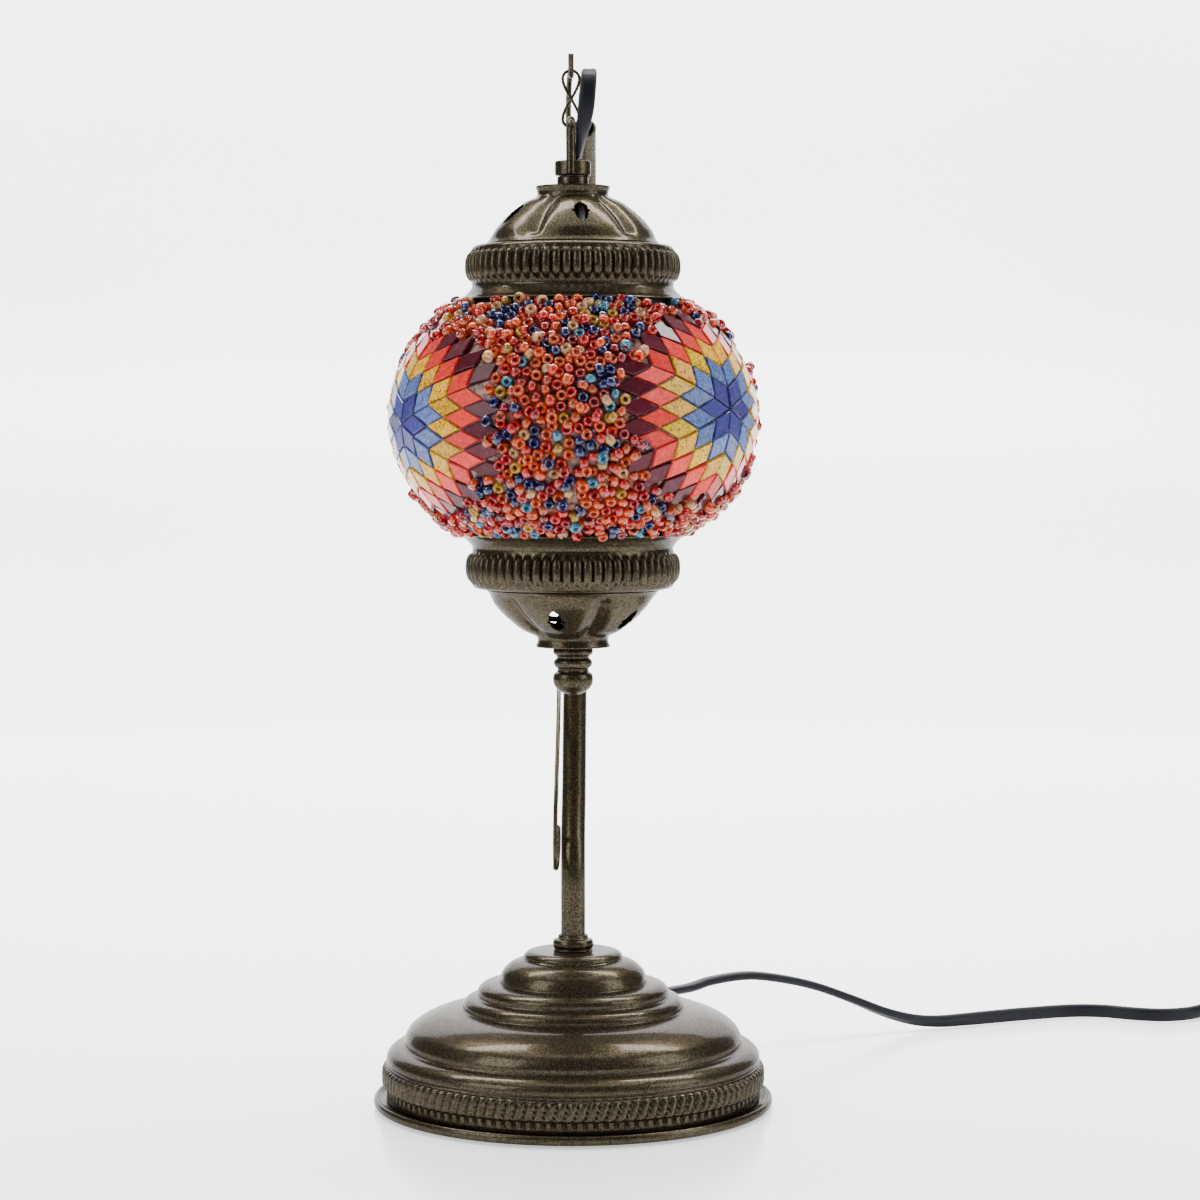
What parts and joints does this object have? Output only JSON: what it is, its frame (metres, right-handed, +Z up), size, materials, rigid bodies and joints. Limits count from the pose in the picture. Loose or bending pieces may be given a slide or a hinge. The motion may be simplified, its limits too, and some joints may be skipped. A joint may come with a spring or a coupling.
{
  "type": "mosaic glass table lamp",
  "caption": "Swan-neck table lamp with a hanging mosaic glass globe between pierced metal caps, and a flat mains cord with a switch and a plug.",
  "frame": {"origin": "centre of the felt pad's underside, on the base's axis", "axes": "+Z up; -Y is the lamp's front, the side the lantern hangs towards; the neck rises behind it on +Y; +X is to the right seen from the front"},
  "size_m": [0.4165, 0.3744, 0.3693],
  "materials": {
    "bronze_paint": "gloss metallic olive bronze with fine gold flake",
    "plated_steel": "zinc plated",
    "brass": "satin",
    "cast_iron": "rough cast",
    "felt": "felt",
    "clear_glass": "clear",
    "mosaic_glass": "coloured glass tiles and seed beads in clear glue",
    "black_pvc": "satin black",
    "black_plastic": "moulded black",
    "black_rubber": "matte",
    "white_ceramic": "glazed white"
  },
  "bodies": {
    "stand": {"felt_pad": "felt", "base_pan": "bronze_paint", "base_shell": "bronze_paint", "base_weight": "cast_iron", "base_washer": "plated_steel", "base_nut": "plated_steel", "stem_locknut": "plated_steel", "stem_collar": "bronze_paint", "cord_gland": "black_rubber", "neck_tube": "bronze_paint", "hook_rod": "bronze_paint", "scroll_rod": "bronze_paint", "neck_lead": "black_pvc", "loop_lead": "black_pvc", "cord_run": "black_pvc", "switch_base": "black_plastic", "switch_cover": "black_plastic", "cord_entry": "black_pvc", "cord_coil": "black_pvc", "cord_tail": "black_pvc", "coil_tie": "black_plastic", "plug_boot": "black_rubber", "plug_body": "black_plastic", "plug_pin_left": "plated_steel", "plug_pin_right": "plated_steel"},
    "link": {"figure8_link": "bronze_paint"},
    "lantern": {"hanging_collar": "bronze_paint", "lock_ring": "bronze_paint", "top_cap": "bronze_paint", "bottom_cap": "bronze_paint", "mosaic_skin": "mosaic_glass", "globe_glass": "clear_glass", "top_gasket": "black_rubber", "bottom_gasket": "black_rubber", "centre_nipple": "plated_steel", "cap_nut": "plated_steel", "socket_shell": "black_plastic", "socket_insulator": "white_ceramic", "screw_shell": "brass", "centre_contact": "brass", "socket_lead": "black_pvc", "bulb_cap": "brass", "bulb_glass": "clear_glass", "bulb_stem": "clear_glass", "harp_frame": "plated_steel", "finial_stud": "plated_steel", "stud_nut": "plated_steel", "finial": "bronze_paint"},
    "rocker": {"switch_rocker": "black_plastic"}
  },
  "joints": [
    {"name": "link_swing", "type": "hinge", "parent": "stand", "child": "link", "pos_m": [-0.0006, 0, 0.3619], "axis": [0, 1, 0], "range_deg": [-20, 20], "deforming": ["loop_lead"]},
    {"name": "lantern_swing", "type": "hinge", "parent": "link", "child": "lantern", "pos_m": [-0.0006, 0, 0.3442], "axis": [1, 0, 0], "range_deg": [-20, 6], "deforming": ["loop_lead"]},
    {"name": "rocker_tilt", "type": "hinge", "parent": "stand", "child": "rocker", "pos_m": [0.333, 0.235, 0.0104], "axis": [1, 0, 0], "range_deg": [0, 12]}
  ]
}
